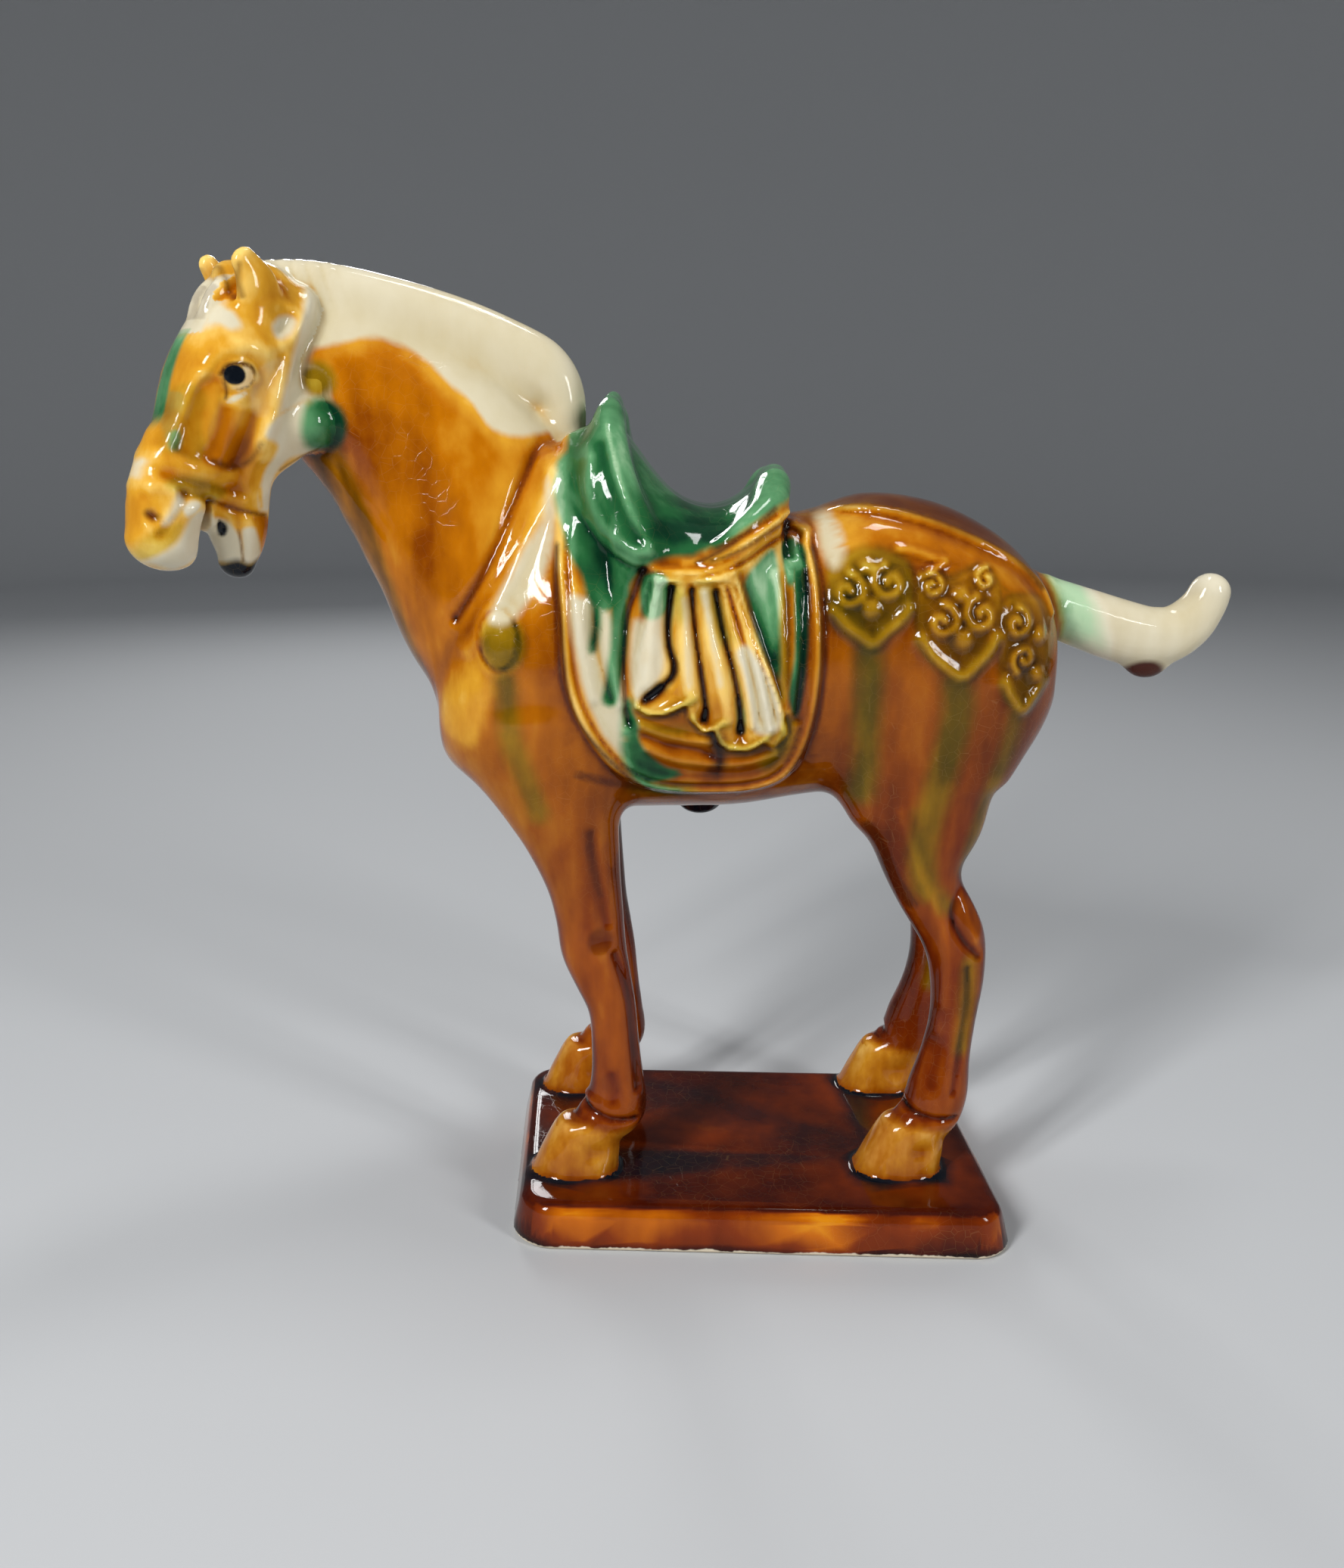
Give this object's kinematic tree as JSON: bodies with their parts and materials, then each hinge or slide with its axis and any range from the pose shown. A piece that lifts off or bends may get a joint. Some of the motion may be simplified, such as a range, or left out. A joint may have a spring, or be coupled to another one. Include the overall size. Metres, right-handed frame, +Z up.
{
  "type": "glazed pottery horse",
  "caption": "Glazed earthenware figure of a saddled horse with its head turned to the left and its mouth open, standing on a rectangular slab cast in one with it.",
  "frame": {"origin": "centre of the slab's flat underside", "axes": "+Z up, the horse faces -X, and its left flank faces -Y"},
  "size_m": [0.2293, 0.0745, 0.2053],
  "materials": {
    "glaze": null
  },
  "bodies": {
    "root": {"tomb_horse": "glaze"}
  },
  "joints": []
}
